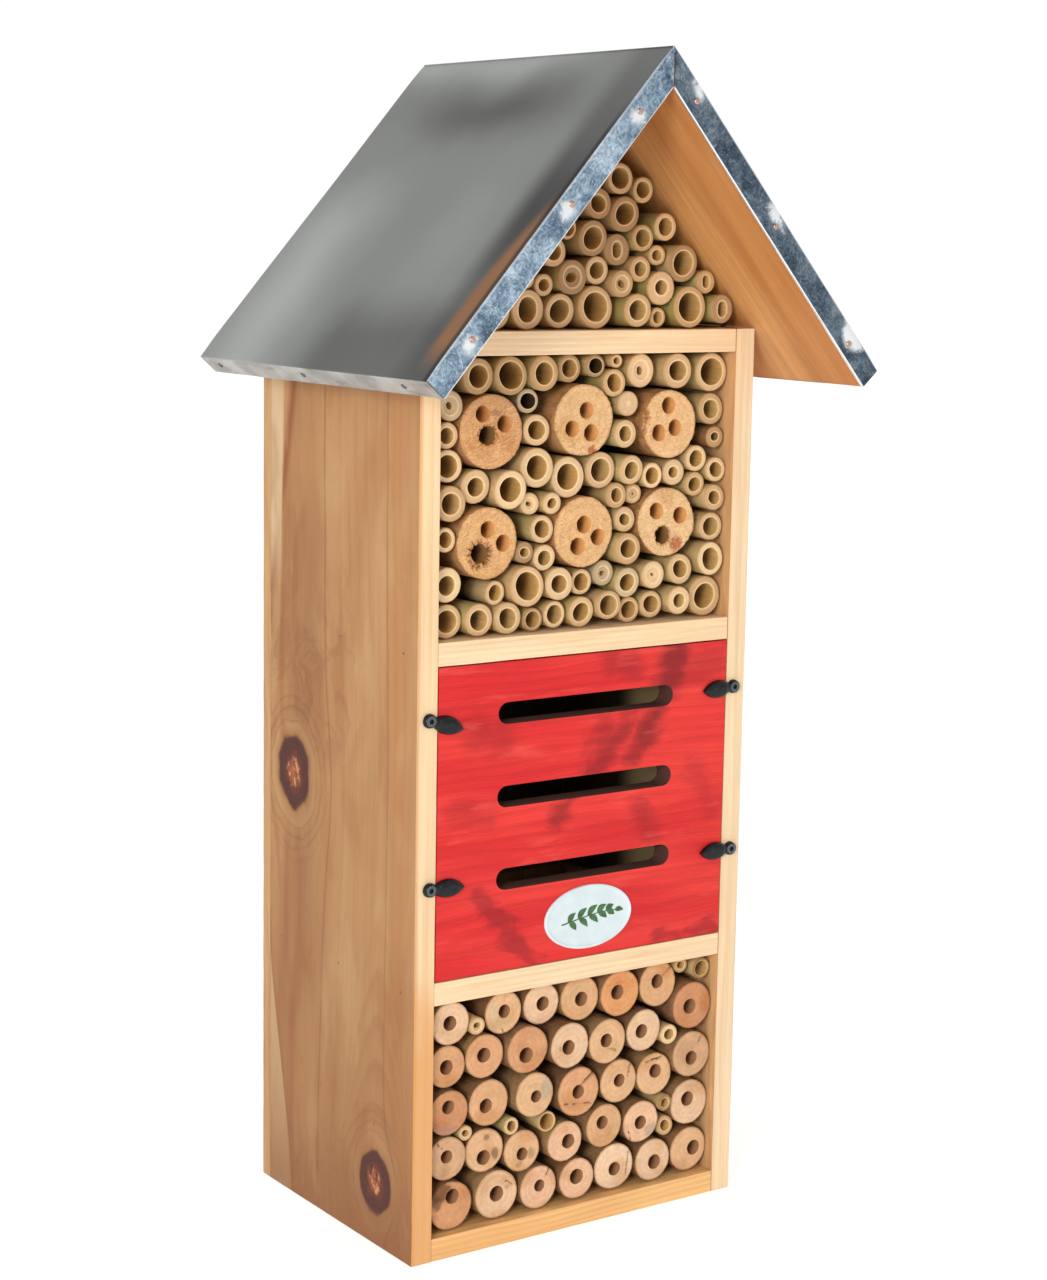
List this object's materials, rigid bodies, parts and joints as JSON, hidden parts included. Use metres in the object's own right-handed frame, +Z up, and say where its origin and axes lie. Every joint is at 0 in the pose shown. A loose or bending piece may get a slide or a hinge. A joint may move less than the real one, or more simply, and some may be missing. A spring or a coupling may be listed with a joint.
{
  "type": "insect hotel",
  "caption": "Tall timber insect hotel with a metal-covered pitched roof, drilled logs and cut canes behind open fronts, and a slotted red chamber panel held by turn buttons.",
  "frame": {"origin": "on the ground under the middle of the roof", "axes": "+Z up, -Y out of the open front, +X to the right seen from the front"},
  "size_m": [0.272, 0.2214, 0.6036],
  "materials": {
    "side_wood": "sawn, oiled",
    "shelf_wood": "sawn",
    "roof_wood": "sawn, oiled",
    "red_stained_wood": "stained",
    "bamboo": "cut canes",
    "stem_wood": "sawn ends",
    "log_wood": "sawn ends",
    "galvanised_sheet": "spangled zinc",
    "black_metal": "gloss black",
    "badge_plastic": "gloss",
    "nail_steel": "dull"
  },
  "bodies": {
    "case": {"back_panel": "side_wood", "back_panel_nails": "nail_steel", "back_rake_nails": "nail_steel", "bamboo_between_lower_logs": "bamboo", "bamboo_between_upper_logs": "bamboo", "bamboo_bottom_row_left": "bamboo", "bamboo_bottom_row_right": "bamboo", "bamboo_centre_row_left": "bamboo", "bamboo_centre_row_right": "bamboo", "bamboo_lower_lower_set": "bamboo", "bamboo_lower_upper_set": "bamboo", "bamboo_second_row_left": "bamboo", "bamboo_second_row_right": "bamboo", "bamboo_top_row_left": "bamboo", "bamboo_top_row_right": "bamboo", "bottom_board": "shelf_wood", "button_screws": "black_metal", "case_brads": "nail_steel", "eave_nails": "nail_steel", "front_panel": "red_stained_wood", "front_rake_nails": "nail_steel", "gable_bamboo_row_1": "bamboo", "gable_bamboo_row_2": "bamboo", "gable_bamboo_row_3": "bamboo", "gable_bamboo_row_4": "bamboo", "gable_bamboo_row_5": "bamboo", "hanger_plate": "nail_steel", "hanger_screws": "nail_steel", "left_panel_stop": "side_wood", "left_roof_board": "roof_wood", "left_side_board": "side_wood", "log_lower_centre": "log_wood", "log_lower_left": "log_wood", "log_lower_right": "log_wood", "log_upper_centre": "log_wood", "log_upper_left": "log_wood", "log_upper_right": "log_wood", "lower_shelf": "shelf_wood", "middle_shelf": "shelf_wood", "oval_badge": "badge_plastic", "right_panel_stop": "side_wood", "right_roof_board": "roof_wood", "right_side_board": "side_wood", "roof_board_nails": "nail_steel", "roof_metal_sheet": "galvanised_sheet", "stem_row_1": "stem_wood", "stem_row_2": "stem_wood", "stem_row_3": "stem_wood", "stem_row_4": "stem_wood", "stem_row_5": "stem_wood", "upper_shelf": "shelf_wood"},
    "button_top_left": {"turn_button_top_left": "black_metal"},
    "button_bottom_left": {"turn_button_bottom_left": "black_metal"},
    "button_top_right": {"turn_button_top_right": "black_metal"},
    "button_bottom_right": {"turn_button_bottom_right": "black_metal"}
  },
  "joints": [
    {"name": "button_top_left_turn", "type": "hinge", "parent": "case", "child": "button_top_left", "pos_m": [-0.0955, -0.0518, 0.2795], "axis": [0, -1, 0], "continuous": true},
    {"name": "button_bottom_left_turn", "type": "hinge", "parent": "case", "child": "button_bottom_left", "pos_m": [-0.0945, -0.0518, 0.1945], "axis": [0, -1, 0], "continuous": true},
    {"name": "button_top_right_turn", "type": "hinge", "parent": "case", "child": "button_top_right", "pos_m": [0.0945, -0.0518, 0.28], "axis": [0, -1, 0], "continuous": true},
    {"name": "button_bottom_right_turn", "type": "hinge", "parent": "case", "child": "button_bottom_right", "pos_m": [0.0955, -0.0518, 0.192], "axis": [0, -1, 0], "continuous": true}
  ]
}
